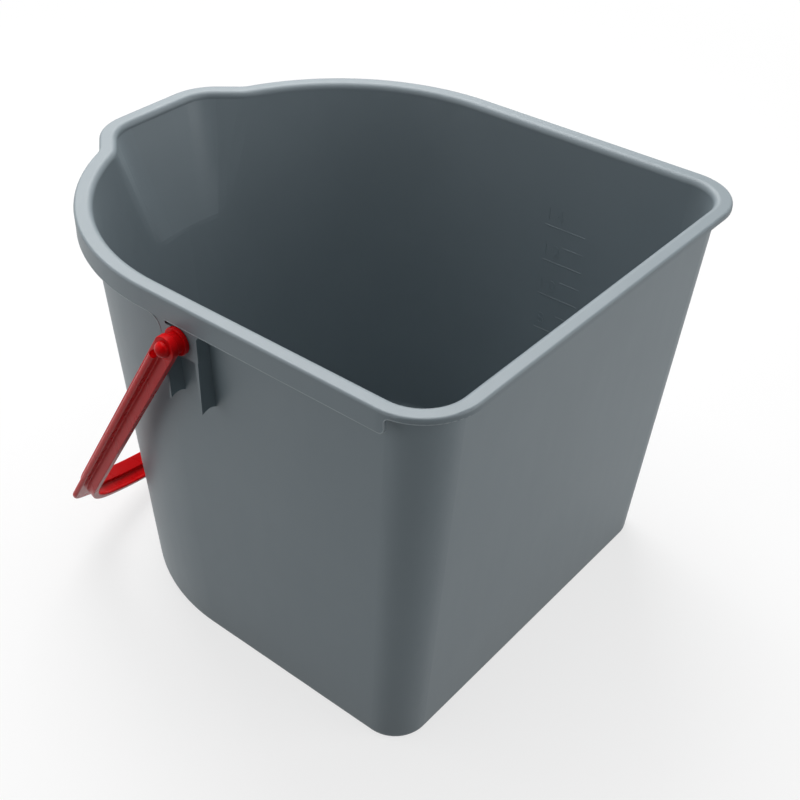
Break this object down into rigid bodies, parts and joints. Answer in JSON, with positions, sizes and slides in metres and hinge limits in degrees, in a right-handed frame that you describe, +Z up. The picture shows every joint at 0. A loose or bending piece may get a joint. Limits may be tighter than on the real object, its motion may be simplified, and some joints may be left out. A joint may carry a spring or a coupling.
{
  "type": "bucket",
  "caption": "Moulded plastic bucket with round front, flat back, pouring spout, skirted rim, litre marks inside and a swinging plastic bail.",
  "frame": {"origin": "on the floor, under the middle of the rim's width and of the whole length from spout lip to back rim", "axes": "+X along the bail's pivot axis, +Y to the flat back, -Y to the pouring spout, +Z up"},
  "size_m": [0.3306, 0.357, 0.263],
  "materials": {
    "grey_polypropylene": "moulded, satin, mid grey",
    "red_polypropylene": "moulded, semi-gloss, red"
  },
  "bodies": {
    "tub": {"bucket_body": "grey_polypropylene"},
    "bail": {"bail_handle": "red_polypropylene"}
  },
  "joints": [
    {"name": "bail_swing", "type": "hinge", "parent": "tub", "child": "bail", "pos_m": [0, 0.0105, 0.241], "axis": [-1, 0, 0], "range_deg": [0, 200]}
  ]
}
